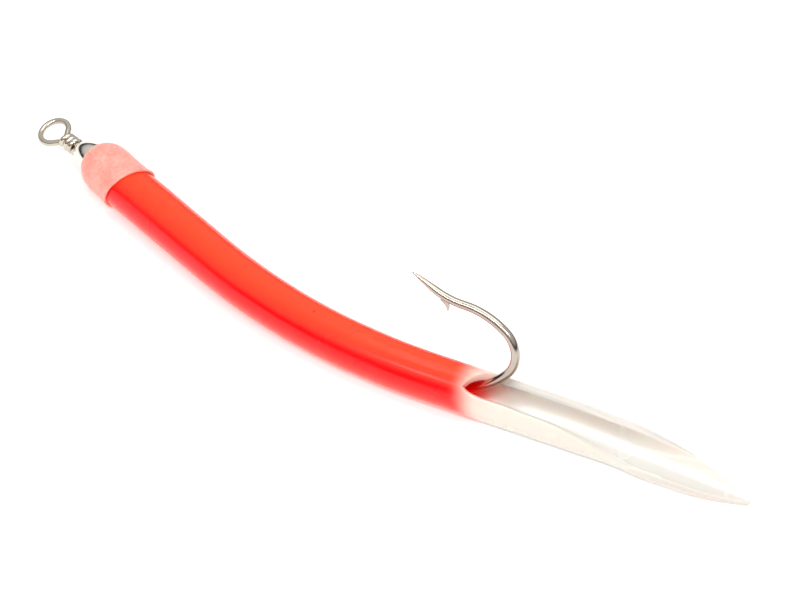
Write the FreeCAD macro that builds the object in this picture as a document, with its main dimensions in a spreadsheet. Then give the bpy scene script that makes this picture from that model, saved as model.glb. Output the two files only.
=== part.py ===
import FreeCAD, Part
import os
from math import atan2, cos, degrees, radians, sin
import Sketcher
from FreeCAD import Placement, Rotation, Vector

# Rubber eel lure: soft tubing over a long-shank hook, with a barrel swivel held in its mouth.
# Millimetres and degrees. The origin is the centre of the line eye. +X runs from the eye along the
# straight head of the tube towards the tail, the tube bends towards +Y, and +Z is up as it lies.

SIZES = [
    # swivel
    ("eye_ring", 3.0, "radius of the line loop's wire centreline"),
    ("rear_ring", 2.3, "radius of the rear loop's wire centreline"),
    ("eye_wire", 1.25, "wire thickness of both swivel eyes"),
    ("eye_shank", 1.16, "thickness of the straight wire that runs into the barrel"),
    ("eye_reach", 14.4, "line loop's centre to the middle of the barrel, along the swivel"),
    ("rear_reach", 13.7, "the same for the rear loop"),
    ("eye_roll", 20.5, "turn of the line loop about the swivel"),
    ("wrap_gap", 1.45, "centreline of a loop's wire to the first wrap"),
    ("wrap_pitch", 1.26, "spacing of the wraps"),
    ("wrap_bite", 0.08, "how far a wrap presses into the wire it closes on"),
    ("head_inset", 4.0, "retaining head to the middle of the barrel"),
    ("head_radius", 1.15, "retaining head inside the barrel"),
    ("barrel_diameter", 6.6, "widest part of the barrel"),
    ("barrel_end", 3.5, "diameter of the barrel's end faces"),
    ("barrel_length", 11.2, "barrel, end face to end face"),
    ("barrel_wall", 0.6, "sheet thickness of the barrel"),
    ("eye_play", 0.13, "radial clearance of a swivel wire in the barrel's end hole"),
    ("swivel_droop", 6.2, "how far the swivel's nose hangs below the tube's axis"),
    # tube
    ("tube_outer", 10.0, "outside diameter of the tubing"),
    ("tube_bore", 6.6, "inside diameter of the tubing"),
    ("mouth_x", 16.6, "line eye to the tube's mouth, along X"),
    ("mouth_round", 1.6, "rounding of the mouth's outer edge"),
    ("head_straight", 37.4, "mouth to the start of the bend"),
    ("bend_radius", 136, "radius of the tube's axis in the bend"),
    ("bend_angle", 25, "turn of the bend"),
    ("tail_straight", 71, "end of the bend to the tip of the tail"),
    # cut that opens the tail
    ("cut_lean", 8, "lean of the opening towards the outside of the bend"),
    ("cut_start", 5.6, "end of the bend to the front of the cut"),
    ("cut_front_angle", 5, "half opening at the front of the cut, seen along the tail"),
    ("notch_run", 2.6, "length over which the cut opens"),
    ("notch_angle", 46, "half opening behind the front"),
    ("rim_run", 19.0, "length of the even stretch"),
    ("rim_angle", 52, "half opening at the end of the even stretch"),
    ("sink_run", 16.0, "length over which the rims sink to the tube's sides"),
    ("sink_angle", 78, "half opening where the scoop takes over"),
    ("scoop_run", 13.0, "length of the scoop's steep part"),
    ("scoop_low", -3.1, "height of the scoop's floor against the axis, at its rear"),
    ("tip_thickness", 1.1, "thickness of the tail's tip"),
    ("leaf_run", 26.5, "length over which the tail narrows to its tip"),
    ("tip_width", 1.6, "width of the tail's blunt tip"),
    # collar
    ("collar_wall", 0.35, "thickness of the stretched latex"),
    ("collar_length", 10.5, "mouth of the tube to the middle of the collar's rear edge"),
    ("collar_slant", 13, "slant of the rear edge"),
    ("collar_turn", 52.5, "turn of that slant about the tube"),
    ("collar_hole", 2.2, "radius of the collar's front hole before the swivel opens it"),
    # hook
    ("hook_wire", 1.9, "hook wire"),
    ("hook_eye_ring", 1.95, "radius of the hook eye's wire centreline"),
    ("hook_eye_wire", 2.0, "wire thickness of the hook's eye"),
    ("link_slack", 0.25, "slack between the swivel's rear loop and the hook's eye"),
    ("shank_drop", 1.4, "how far the shank lies below the tube's axis"),
    ("hook_lean", 10, "lean of the bend towards the inside of the tube's bend"),
    ("bend_one", 20.3, "radius where the wire leaves the shank"),
    ("turn_one", 51.3, "turn of that first curve"),
    ("bend_two", 6.2, "radius of the tight curve"),
    ("turn_two", 94.2, "turn of the tight curve"),
    ("bend_three", 16.5, "radius of the curve that comes back to the spear"),
    ("spear", 0.5, "straight part of the spear"),
    ("kick_radius", 17.0, "radius of the outward kick before the point"),
    ("kick_turn", 23, "turn of the kick"),
    ("point_length", 5.9, "length of the ground point"),
    ("barb_back", 4.05, "base of the point to the rear root of the barb"),
    ("barb_root", 3.55, "length of the barb's root along the wire"),
    ("barb_drop", 2.3, "height of the barb's tip below the point's axis"),
    ("barb_lead", 0.6, "tip of the barb behind its rear root"),
    ("barb_thickness", 0.8, "thickness of the barb"),
]

doc = FreeCAD.newDocument("rubber_eel")
size = {name: value for name, value, note in SIZES}


def make_sheet():
    sheet = doc.addObject("Spreadsheet::Sheet", "dims")
    for row, (name, value, note) in enumerate(SIZES, 1):
        sheet.set(f"A{row}", note)
        sheet.set(f"B{row}", str(value))
        sheet.setAlias(f"B{row}", name)
    doc.recompute()


def origin_plane(body, role):
    return next(plane for plane in body.Origin.OriginFeatures if plane.Role == role)


def new_sketch(body, name, role, lean_cell=None, lean_axis=None):
    """A sketch on one of the body's own planes, leaned about the tail's axis if a cell is named.

    The lean's axis is given in the sketch's own directions.
    """
    sketch = body.newObject("Sketcher::SketchObject", name)
    sketch.AttachmentSupport = [(origin_plane(body, role), "")]
    sketch.MapMode = "FlatFace"
    if lean_cell:
        sketch.AttachmentOffset = Placement(Vector(), Rotation(Vector(*lean_axis), size[lean_cell]))
        sketch.setExpression("AttachmentOffset.Rotation.Angle", f"dims.{lean_cell}")
    return sketch


def rule(sketch, kind, *where, value=None, size_of=None):
    """Add one constraint, with its value bound to an expression of the sheet when one is given."""
    arguments = list(where) + ([value] if value is not None else [])
    number = sketch.addConstraint(Sketcher.Constraint(kind, *arguments))
    if size_of:
        sketch.setExpression(f"Constraints[{number}]", size_of)


def point_at(sketch, edge, end, x, y, x_of, y_of):
    """Hold the end of an edge at a place in the sketch; a zero is held on the axis itself."""
    if x_of is None:
        rule(sketch, "PointOnObject", edge, end, -2)
    else:
        rule(sketch, "DistanceX", -1, 1, edge, end, value=x, size_of=x_of)
    if y_of is None:
        rule(sketch, "PointOnObject", edge, end, -1)
    else:
        rule(sketch, "DistanceY", -1, 1, edge, end, value=y, size_of=y_of)


def line(sketch, start, end):
    return sketch.addGeometry(Part.LineSegment(Vector(*start, 0), Vector(*end, 0)), False)


def arc(sketch, centre, radius, start, end):
    circle = Part.Circle(Vector(*centre, 0), Vector(0, 0, 1), radius)
    return sketch.addGeometry(Part.ArcOfCircle(circle, radians(start), radians(end)), False)


def outline(sketch, corners):
    """A closed outline of straight lines; each corner is (x, y, x expression, y expression)."""
    count = len(corners)
    for index, corner in enumerate(corners):
        line(sketch, corner[:2], corners[(index + 1) % count][:2])
    for index, (x, y, x_of, y_of) in enumerate(corners):
        rule(sketch, "Coincident", (index - 1) % count, 2, index, 1)
        point_at(sketch, index, 1, x, y, x_of, y_of)


def cut_through(body, name, sketch):
    pocket = body.newObject("PartDesign::Pocket", name)
    pocket.Profile = sketch
    pocket.SideType = "Symmetric"
    pocket.Type = "ThroughAll"
    return pocket


def place(item, x_of, y_of, z_of, axis, angle_of):
    """Bind an object's place to the sheet: three coordinates and a turn about one axis."""
    item.Placement = Placement(Vector(), Rotation(Vector(*axis), 1))
    item.setExpression("Placement.Base.x", x_of)
    item.setExpression("Placement.Base.y", y_of)
    item.setExpression("Placement.Base.z", z_of)
    item.setExpression("Placement.Rotation.Angle", angle_of)


# Places that several pieces share.
BARREL_X = "dims.eye_reach * cos(dims.swivel_droop)"
TUBE_Z = "dims.eye_reach * sin(dims.swivel_droop)"
TAIL_X = "dims.mouth_x + dims.head_straight + dims.bend_radius * sin(dims.bend_angle)"
TAIL_Y = "dims.bend_radius * (1 - cos(dims.bend_angle))"
HOLE_REACH = "((dims.barrel_length - dims.barrel_wall) / 2)"
REAR_RISE = f"({HOLE_REACH} * sin(dims.swivel_droop))"
REAR_BACK = f"sqrt((dims.rear_reach - {HOLE_REACH})^2 - {REAR_RISE}^2)"
REAR_LOOP_X = f"({BARREL_X} + {HOLE_REACH} * cos(dims.swivel_droop) + {REAR_BACK})"
SCOOP_X = "dims.cut_start + dims.notch_run + dims.rim_run + dims.sink_run"

# Corners of the hook's bend, in the plane of the bend, from the end of the shank.
TURN_TWO_END = "(dims.turn_one + dims.turn_two)"
SPEAR_X = (
    "(dims.bend_one * sin(dims.turn_one)"
    f" + dims.bend_two * (sin({TURN_TWO_END}) - sin(dims.turn_one))"
    f" - dims.bend_three * sin({TURN_TWO_END}))"
)
SPEAR_Y = (
    "(dims.bend_one * (1 - cos(dims.turn_one))"
    f" + dims.bend_two * (cos(dims.turn_one) - cos({TURN_TWO_END}))"
    f" + dims.bend_three * (cos({TURN_TWO_END}) + 1))"
)


def make_tube():
    """Soft tubing: bent pipe, rounded mouth, long scoop cut and a leaf-shaped tail.

    The body's own frame has its origin where the bend ends and X along the tail.
    """
    outer = size["tube_outer"] / 2
    radius, turn = size["bend_radius"], size["bend_angle"]
    tail = size["tail_straight"]
    body = doc.addObject("PartDesign::Body", "Tube")
    body.Label = "tube"

    spine = new_sketch(body, "TubeAxis", "XY_Plane")
    bend_start = (-radius * sin(radians(turn)), radius * (1 - cos(radians(turn))))
    mouth = (
        bend_start[0] - size["head_straight"] * cos(radians(turn)),
        bend_start[1] + size["head_straight"] * sin(radians(turn)),
    )
    line(spine, (tail, 0), (0, 0))
    arc(spine, (0, radius), radius, 270 - turn, 270)
    line(spine, bend_start, mouth)
    rule(spine, "Tangent", 0, 2, 1, 2)
    rule(spine, "Tangent", 1, 1, 2, 1)
    rule(spine, "Coincident", 0, 2, -1, 1)
    rule(spine, "Horizontal", 0)
    rule(spine, "Distance", 0, value=tail, size_of="dims.tail_straight")
    rule(spine, "Radius", 1, value=radius, size_of="dims.bend_radius")
    rule(spine, "Angle", 1, value=radians(turn), size_of="dims.bend_angle")
    rule(spine, "Distance", 2, value=size["head_straight"], size_of="dims.head_straight")

    section = new_sketch(body, "TubeSection", "YZ_Plane")
    section.setExpression("AttachmentOffset.Base.z", "dims.tail_straight")
    for index, name in enumerate(("tube_outer", "tube_bore")):
        section.addGeometry(Part.Circle(Vector(), Vector(0, 0, 1), size[name] / 2), False)
        rule(section, "Coincident", index, 3, -1, 1)
        rule(section, "Radius", index, value=size[name] / 2, size_of=f"dims.{name} / 2")

    pipe = body.newObject("PartDesign::AdditivePipe", "TubePipe")
    pipe.Profile = section
    pipe.Spine = (spine, ["Edge1", "Edge2", "Edge3"])
    doc.recompute()

    edge = next(
        f"Edge{number}"
        for number, edge in enumerate(pipe.Shape.Edges, 1)
        if edge.Curve.TypeId == "Part::GeomCircle"
        and abs(edge.Curve.Radius - outer) < 1e-4
        and (edge.Curve.Center - Vector(*mouth, 0)).Length < 1e-3
    )
    rounding = body.newObject("PartDesign::Fillet", "MouthRounding")
    rounding.Base = (pipe, [edge])
    rounding.setExpression("Radius", "dims.mouth_round")

    # The opening: wedges from the axis outwards that widen along the tail, so both rims are radial.
    # They run well past the wall, because the widest one is nearly flat.
    side = 5 * size["tube_outer"]
    wedges = []
    for index, (place_of, angle_of) in enumerate((
        ("dims.cut_start", "cut_front_angle"),
        ("dims.cut_start + dims.notch_run", "notch_angle"),
        ("dims.cut_start + dims.notch_run + dims.rim_run", "rim_angle"),
        (SCOOP_X, "sink_angle"),
    )):
        wedge = new_sketch(body, f"OpeningSection{index}", "YZ_Plane", "cut_lean", (0, 0, 1))
        wedge.setExpression("AttachmentOffset.Base.z", place_of)
        across, up = side * sin(radians(size[angle_of])), side * cos(radians(size[angle_of]))
        across_of = f"5 * dims.tube_outer * sin(dims.{angle_of})"
        up_of = f"5 * dims.tube_outer * cos(dims.{angle_of})"
        line(wedge, (0, 0), (across, up))
        line(wedge, (across, up), (-across, up))
        line(wedge, (-across, up), (0, 0))
        rule(wedge, "Coincident", 0, 1, -1, 1)
        rule(wedge, "Coincident", 2, 2, -1, 1)
        rule(wedge, "Coincident", 0, 2, 1, 1)
        rule(wedge, "Coincident", 1, 2, 2, 1)
        point_at(wedge, 1, 1, across, up, across_of, up_of)
        point_at(wedge, 1, 2, -across, up, f"-{across_of}", up_of)
        wedges.append(wedge)
    opening = body.newObject("PartDesign::SubtractiveLoft", "OpeningCut")
    opening.Profile = wedges[0]
    opening.Sections = wedges[1:]
    opening.Ruled = True

    # Side view of the scoop that takes the tail down to its thin tip.
    scoop = new_sketch(body, "ScoopOutline", "XZ_Plane", "cut_lean", (1, 0, 0))
    start = size["cut_start"] + size["notch_run"] + size["rim_run"] + size["sink_run"]
    rim_height = outer * cos(radians(size["sink_angle"]))
    clear = size["tube_outer"]
    beyond = tail + clear
    tip_y = size["tip_thickness"] - outer
    beyond_of = "dims.tail_straight + dims.tube_outer"
    tip_of = "dims.tip_thickness - dims.tube_outer / 2"
    outline(scoop, [
        (start, clear, SCOOP_X, "dims.tube_outer"),
        (start, rim_height, SCOOP_X, "dims.tube_outer / 2 * cos(dims.sink_angle)"),
        (start + size["scoop_run"], size["scoop_low"], f"{SCOOP_X} + dims.scoop_run", "dims.scoop_low"),
        (tail, tip_y, "dims.tail_straight", tip_of),
        (beyond, tip_y, beyond_of, tip_of),
        (beyond, clear, beyond_of, "dims.tube_outer"),
    ])
    cut_through(body, "ScoopCut", scoop)

    # Plan view of the leaf: two arcs that leave the tube's sides square-on and end at a blunt tip.
    leaf = new_sketch(body, "LeafOutline", "XY_Plane", "cut_lean", (1, 0, 0))
    run, half_tip = size["leaf_run"], size["tip_width"] / 2
    sag = outer - half_tip
    curve = (run**2 + sag**2) / (2 * sag)
    sweep = degrees(atan2(curve - sag, run))
    leaf_x = tail - run
    arc(leaf, (leaf_x, outer - curve), curve, sweep, 90)
    arc(leaf, (leaf_x, curve - outer), curve, 270, 360 - sweep)
    corners = [
        (tail, -half_tip), (tail, half_tip), (leaf_x, outer), (leaf_x, clear),
        (beyond, clear), (beyond, -clear), (leaf_x, -clear), (leaf_x, -outer),
    ]
    line(leaf, corners[0], corners[1])
    for first, second in zip(corners[2:], corners[3:]):
        line(leaf, first, second)
    for first, first_end, second, second_end in (
        (1, 2, 2, 1), (2, 2, 0, 1), (0, 2, 3, 1), (3, 2, 4, 1), (4, 2, 5, 1), (5, 2, 6, 1),
        (6, 2, 7, 1), (7, 2, 1, 1),
    ):
        rule(leaf, "Coincident", first, first_end, second, second_end)
    leaf_of = "dims.tail_straight - dims.leaf_run"
    point_at(leaf, 2, 1, tail, -half_tip, "dims.tail_straight", "-dims.tip_width / 2")
    point_at(leaf, 2, 2, tail, half_tip, "dims.tail_straight", "dims.tip_width / 2")
    point_at(leaf, 3, 1, leaf_x, outer, leaf_of, "dims.tube_outer / 2")
    point_at(leaf, 4, 1, leaf_x, clear, leaf_of, "dims.tube_outer")
    point_at(leaf, 5, 1, beyond, clear, beyond_of, "dims.tube_outer")
    point_at(leaf, 6, 1, beyond, -clear, beyond_of, "-dims.tube_outer")
    point_at(leaf, 7, 1, leaf_x, -clear, leaf_of, "-dims.tube_outer")
    point_at(leaf, 7, 2, leaf_x, -outer, leaf_of, "-dims.tube_outer / 2")
    rule(leaf, "DistanceX", -1, 1, 0, 3, value=leaf_x, size_of=leaf_of)
    rule(leaf, "DistanceX", -1, 1, 1, 3, value=leaf_x, size_of=leaf_of)
    cut_through(body, "LeafCut", leaf)
    place(body, TAIL_X, TAIL_Y, TUBE_Z, (0, 0, 1), "dims.bend_angle")
    return body


def make_barrel_shape(name, hollow):
    """The bulged barrel of the swivel, with X along the swivel and the origin at its middle."""
    half, wall = size["barrel_length"] / 2, size["barrel_wall"]
    end, widest = size["barrel_end"] / 2, size["barrel_diameter"] / 2
    hole = size["eye_shank"] / 2 + size["eye_play"]
    bulge = (half**2 + (widest - end) ** 2) / (2 * (widest - end))
    bulge_of = (
        "((dims.barrel_length / 2)^2 + ((dims.barrel_diameter - dims.barrel_end) / 2)^2)"
        " / (dims.barrel_diameter - dims.barrel_end)"
    )
    hole_of = "dims.eye_shank / 2 + dims.eye_play"
    low = widest - bulge
    inner = half - wall
    inner_end = low + ((bulge - wall) ** 2 - inner**2) ** 0.5
    body = doc.addObject("PartDesign::Body", name)
    sketch = new_sketch(body, f"{name}Section", "XZ_Plane")

    def side_angle(x, y):
        return degrees(atan2(y - low, x))

    arc(sketch, (0, low), bulge, side_angle(half, end), side_angle(-half, end))
    floor = hole if hollow else 0
    line(sketch, (-half, end), (-half, floor))
    if hollow:
        line(sketch, (-half, hole), (-inner, hole))
        line(sketch, (-inner, hole), (-inner, inner_end))
        arc(sketch, (0, low), bulge - wall, side_angle(inner, inner_end), side_angle(-inner, inner_end))
        line(sketch, (inner, inner_end), (inner, hole))
        line(sketch, (inner, hole), (half, hole))
        last = 7
        joins = ((0, 2, 1, 1), (1, 2, 2, 1), (2, 2, 3, 1), (3, 2, 4, 2), (4, 1, 5, 1), (5, 2, 6, 1), (6, 2, 7, 1))
    else:
        line(sketch, (-half, 0), (half, 0))
        last = 3
        joins = ((0, 2, 1, 1), (1, 2, 2, 1), (2, 2, 3, 1))
    line(sketch, (half, floor), (half, end))
    for first, first_end, second, second_end in joins + ((last, 2, 0, 1),):
        rule(sketch, "Coincident", first, first_end, second, second_end)
    half_of, end_of = "dims.barrel_length / 2", "dims.barrel_end / 2"
    rule(sketch, "PointOnObject", 0, 3, -2)
    rule(sketch, "Radius", 0, value=bulge, size_of=bulge_of)
    point_at(sketch, 1, 1, -half, end, f"-{half_of}", end_of)
    rule(sketch, "Vertical", last)
    if hollow:
        inner_of = "dims.barrel_length / 2 - dims.barrel_wall"
        point_at(sketch, 2, 1, -half, hole, f"-{half_of}", hole_of)
        point_at(sketch, 2, 2, -inner, hole, f"-({inner_of})", hole_of)
        point_at(sketch, 6, 1, inner, hole, inner_of, hole_of)
        point_at(sketch, 6, 2, half, hole, half_of, hole_of)
        rule(sketch, "Vertical", 3)
        rule(sketch, "Vertical", 5)
        rule(sketch, "Coincident", 4, 3, 0, 3)
        rule(sketch, "Radius", 4, value=bulge - wall, size_of=f"{bulge_of} - dims.barrel_wall")
    else:
        rule(sketch, "Vertical", 1)
        rule(sketch, "PointOnObject", 2, 1, -1)
        point_at(sketch, 2, 2, half, 0, half_of, None)
    turned = body.newObject("PartDesign::Revolution", f"{name}Turned")
    turned.Profile = sketch
    turned.ReferenceAxis = (sketch, ["H_Axis"])
    turned.Angle = 360
    place(body, BARREL_X, "0", TUBE_Z, (0, 1, 0), "-dims.swivel_droop")
    return body


def make_collar():
    """Latex sleeve over the mouth; its domed front closes on the barrel, which opens its hole."""
    sleeve = doc.addObject("PartDesign::Body", "CollarSleeve")
    inner, wall, dome = size["tube_outer"] / 2, size["collar_wall"], size["mouth_round"]
    outer, hole = inner + wall, size["collar_hole"]
    reach = size["collar_length"] + size["tube_outer"]
    outer_nose = dome - (outer**2 - hole**2) ** 0.5
    inner_nose = dome - (inner**2 - hole**2) ** 0.5
    section = new_sketch(sleeve, "CollarSection", "XZ_Plane")
    arc(section, (dome, 0), outer, 90, degrees(atan2(hole, outer_nose - dome)))
    line(section, (dome, outer), (reach, outer))
    line(section, (reach, outer), (reach, inner))
    line(section, (reach, inner), (dome, inner))
    arc(section, (dome, 0), inner, 90, degrees(atan2(hole, inner_nose - dome)))
    line(section, (inner_nose, hole), (outer_nose, hole))
    for first, first_end, second, second_end in (
        (0, 1, 1, 1), (1, 2, 2, 1), (2, 2, 3, 1), (3, 2, 4, 1), (4, 2, 5, 1), (5, 2, 0, 2),
    ):
        rule(section, "Coincident", first, first_end, second, second_end)
    outer_of = "dims.tube_outer / 2 + dims.collar_wall"
    reach_of = "dims.collar_length + dims.tube_outer"
    rule(section, "PointOnObject", 0, 3, -1)
    rule(section, "Coincident", 4, 3, 0, 3)
    point_at(section, 1, 1, dome, outer, "dims.mouth_round", outer_of)
    point_at(section, 3, 2, dome, inner, "dims.mouth_round", "dims.tube_outer / 2")
    rule(section, "Vertical", 0, 1, 0, 3)
    rule(section, "Horizontal", 1)
    rule(section, "DistanceX", -1, 1, 2, 1, value=reach, size_of=reach_of)
    rule(section, "Vertical", 2)
    rule(section, "Horizontal", 3)
    rule(section, "Horizontal", 5)
    rule(section, "DistanceY", -1, 1, 5, 1, value=hole, size_of="dims.collar_hole")
    turned = sleeve.newObject("PartDesign::Revolution", "CollarTurned")
    turned.Profile = section
    turned.ReferenceAxis = (section, ["H_Axis"])
    turned.Angle = 360

    # The rear edge is cut on a slant through the middle of the sleeve's end.
    clear = size["tube_outer"]
    shift = clear * sin(radians(size["collar_slant"])) / cos(radians(size["collar_slant"]))
    length, beyond = size["collar_length"], reach + clear
    shift_of = "dims.tube_outer * tan(dims.collar_slant)"
    beyond_of = "dims.collar_length + 2 * dims.tube_outer"
    slant = new_sketch(sleeve, "RearEdge", "XZ_Plane")
    outline(slant, [
        (length - shift, -clear, f"dims.collar_length - {shift_of}", "-dims.tube_outer"),
        (beyond, -clear, beyond_of, "-dims.tube_outer"),
        (beyond, clear, beyond_of, "dims.tube_outer"),
        (length + shift, clear, f"dims.collar_length + {shift_of}", "dims.tube_outer"),
    ])
    cut_through(sleeve, "RearCut", slant)
    place(sleeve, "dims.mouth_x", "0", TUBE_Z, (-1, 0, 0), "dims.collar_turn")

    plug = make_barrel_shape("BarrelPlug", hollow=False)
    collar = doc.addObject("Part::Cut", "Collar")
    collar.Label = "collar"
    collar.Base = sleeve
    collar.Tool = plug
    return collar


def make_eye(name, label, ring_of, reach_of, roll_of):
    """One wire of the swivel: loop, shank, wraps and the head that holds it in the barrel.

    Its own frame has the loop's centre at the origin and X towards the barrel.
    """
    loop = doc.addObject("Part::Torus", f"{name}Loop")
    loop.setExpression("Radius1", ring_of)
    loop.setExpression("Radius2", "dims.eye_wire / 2")
    loop.setExpression("Placement.Rotation.Yaw", "180")
    loop.setExpression("Placement.Rotation.Roll", roll_of)
    shank = doc.addObject("Part::Cylinder", f"{name}Shank")
    shank.setExpression("Radius", "dims.eye_shank / 2")
    shank.setExpression("Height", f"{reach_of} - dims.head_inset - {ring_of}")
    shank.Placement = Placement(Vector(), Rotation(Vector(0, 1, 0), 90))
    shank.setExpression("Placement.Base.x", ring_of)
    head = doc.addObject("Part::Sphere", f"{name}Head")
    head.setExpression("Radius", "dims.head_radius")
    head.setExpression("Placement.Base.x", f"{reach_of} - dims.head_inset")
    wraps = []
    for turn in range(3):
        wrap = doc.addObject("Part::Torus", f"{name}Wrap{turn}")
        wrap.setExpression("Radius1", "(dims.eye_shank + dims.eye_wire) / 2 - dims.wrap_bite")
        wrap.setExpression("Radius2", "dims.eye_wire / 2")
        wrap.Placement = Placement(Vector(), Rotation(Vector(0, 1, 0), 90))
        wrap.setExpression("Placement.Base.x", f"{ring_of} + dims.wrap_gap + {turn} * dims.wrap_pitch")
        wraps.append(wrap)
    eye = doc.addObject("Part::MultiFuse", name)
    eye.Label = label
    eye.Shapes = [loop, shank, head] + wraps
    return eye


def make_swivel():
    barrel = make_barrel_shape("SwivelBarrel", hollow=True)
    barrel.Label = "swivel_barrel"
    front = make_eye("FrontEye", "front_eye", "dims.eye_ring", "dims.eye_reach", "-dims.eye_roll")
    place(front, "0", "0", "0", (0, 1, 0), "-dims.swivel_droop")
    # The rear loop lies on the tube's axis and its wire leans up to the barrel's rear hole.
    rear = make_eye("RearEye", "rear_eye", "dims.rear_ring", "dims.rear_reach", "0")
    place(rear, REAR_LOOP_X, "0", TUBE_Z, (0, 1, 0), f"180 deg + atan({REAR_RISE} / {REAR_BACK})")
    return barrel, front, rear


def make_hook():
    """Long-shank eyed hook. Its frame: origin where the shank meets the bend, X along the tail."""
    radius, turn = size["bend_radius"], size["bend_angle"]
    body = doc.addObject("PartDesign::Body", "Hook")
    body.Label = "hook"
    wire = size["hook_wire"] / 2

    section = new_sketch(body, "WireSection", "YZ_Plane")
    section.addGeometry(Part.Circle(Vector(), Vector(0, 0, 1), wire), False)
    rule(section, "Coincident", 0, 3, -1, 1)
    rule(section, "Radius", 0, value=wire, size_of="dims.hook_wire / 2")

    # The shank follows the tube's axis forward to the eye, which hangs on the swivel's rear loop.
    eye_of = (
        f"({REAR_LOOP_X} + dims.rear_ring + dims.hook_eye_ring"
        " - (dims.eye_wire + dims.hook_eye_wire) / 2 - dims.link_slack)"
    )
    joint_of = "sqrt(dims.hook_eye_ring^2 - dims.shank_drop^2)"
    shank_of = f"(dims.mouth_x + dims.head_straight - {eye_of} - {joint_of})"
    shank = 20.0
    bend_start = (-radius * sin(radians(turn)), radius * (1 - cos(radians(turn))))
    front = (bend_start[0] - shank * cos(radians(turn)), bend_start[1] + shank * sin(radians(turn)))
    spine = new_sketch(body, "ShankAxis", "XY_Plane")
    arc(spine, (0, radius), radius, 270 - turn, 270)
    line(spine, bend_start, front)
    rule(spine, "Coincident", 0, 2, -1, 1)
    rule(spine, "PointOnObject", 0, 3, -2)
    rule(spine, "Tangent", 0, 1, 1, 1)
    rule(spine, "Radius", 0, value=radius, size_of="dims.bend_radius")
    rule(spine, "Angle", 0, value=radians(turn), size_of="dims.bend_angle")
    rule(spine, "Distance", 1, value=shank, size_of=shank_of)
    pipe = body.newObject("PartDesign::AdditivePipe", "ShankPipe")
    pipe.Profile = section
    pipe.Spine = (spine, ["Edge1", "Edge2"])

    # The bend, in its own leaned plane: three curves back to the spear, then the outward kick.
    one, two, three = size["bend_one"], size["bend_two"], size["bend_three"]
    turn_one, turn_end = size["turn_one"], size["turn_one"] + size["turn_two"]
    kick, kick_turn = size["kick_radius"], size["kick_turn"]

    def step(place_now, radius_now, start, end):
        x, y = place_now
        start, end = radians(start), radians(end)
        return (x + radius_now * (sin(end) - sin(start)), y + radius_now * (cos(start) - cos(end)))

    first_end = step((0, 0), one, 0, turn_one)
    second_end = step(first_end, two, turn_one, turn_end)
    spear_at = step(second_end, three, turn_end, 180)
    kick_at = (spear_at[0] - size["spear"], spear_at[1])
    bend = new_sketch(body, "BendAxis", "XZ_Plane", "hook_lean", (-1, 0, 0))
    arc(bend, (0, one), one, -90, turn_one - 90)
    centre_two = (first_end[0] - two * sin(radians(turn_one)), first_end[1] + two * cos(radians(turn_one)))
    arc(bend, centre_two, two, turn_one - 90, turn_end - 90)
    arc(bend, (spear_at[0], spear_at[1] - three), three, turn_end - 90, 90)
    line(bend, spear_at, kick_at)
    arc(bend, (kick_at[0], kick_at[1] + kick), kick, 270 - kick_turn, 270)
    rule(bend, "Coincident", 0, 1, -1, 1)
    rule(bend, "PointOnObject", 0, 3, -2)
    rule(bend, "Tangent", 0, 2, 1, 1)
    rule(bend, "Tangent", 1, 2, 2, 1)
    rule(bend, "Tangent", 2, 2, 3, 1)
    rule(bend, "Tangent", 3, 2, 4, 2)
    rule(bend, "Horizontal", 3)
    rule(bend, "Radius", 0, value=one, size_of="dims.bend_one")
    rule(bend, "Angle", 0, value=radians(turn_one), size_of="dims.turn_one")
    rule(bend, "Radius", 1, value=two, size_of="dims.bend_two")
    rule(bend, "Angle", 1, value=radians(size["turn_two"]), size_of="dims.turn_two")
    rule(bend, "Radius", 2, value=three, size_of="dims.bend_three")
    rule(bend, "Distance", 3, value=size["spear"], size_of="dims.spear")
    rule(bend, "Radius", 4, value=kick, size_of="dims.kick_radius")
    rule(bend, "Angle", 4, value=radians(kick_turn), size_of="dims.kick_turn")
    bend_pipe = body.newObject("PartDesign::AdditivePipe", "BendPipe")
    bend_pipe.Profile = section
    bend_pipe.Spine = (bend, ["Edge1", "Edge2", "Edge3", "Edge4", "Edge5"])

    # The point is turned about its own axis from a curved half section.
    point = new_sketch(body, "PointSection", "XZ_Plane", "hook_lean", (-1, 0, 0))
    length = size["point_length"]
    lean = radians(kick_turn)
    base = (kick_at[0] - kick * sin(lean), kick_at[1] + kick * (1 - cos(lean)))
    tip = (base[0] - length * cos(lean), base[1] + length * sin(lean))
    shoulder = (base[0] + wire * sin(lean), base[1] + wire * cos(lean))
    base_x_of = f"({SPEAR_X} - dims.spear - dims.kick_radius * sin(dims.kick_turn))"
    base_y_of = f"({SPEAR_Y} + dims.kick_radius * (1 - cos(dims.kick_turn)))"
    outline(point, [
        (*base, base_x_of, base_y_of),
        (*tip, f"{base_x_of} - dims.point_length * cos(dims.kick_turn)",
         f"{base_y_of} + dims.point_length * sin(dims.kick_turn)"),
        (*shoulder, f"{base_x_of} + dims.hook_wire / 2 * sin(dims.kick_turn)",
         f"{base_y_of} + dims.hook_wire / 2 * cos(dims.kick_turn)"),
    ])
    ground = body.newObject("PartDesign::Revolution", "Point")
    ground.Profile = point
    ground.ReferenceAxis = (point, ["Edge1"])
    ground.Angle = 360

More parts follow.
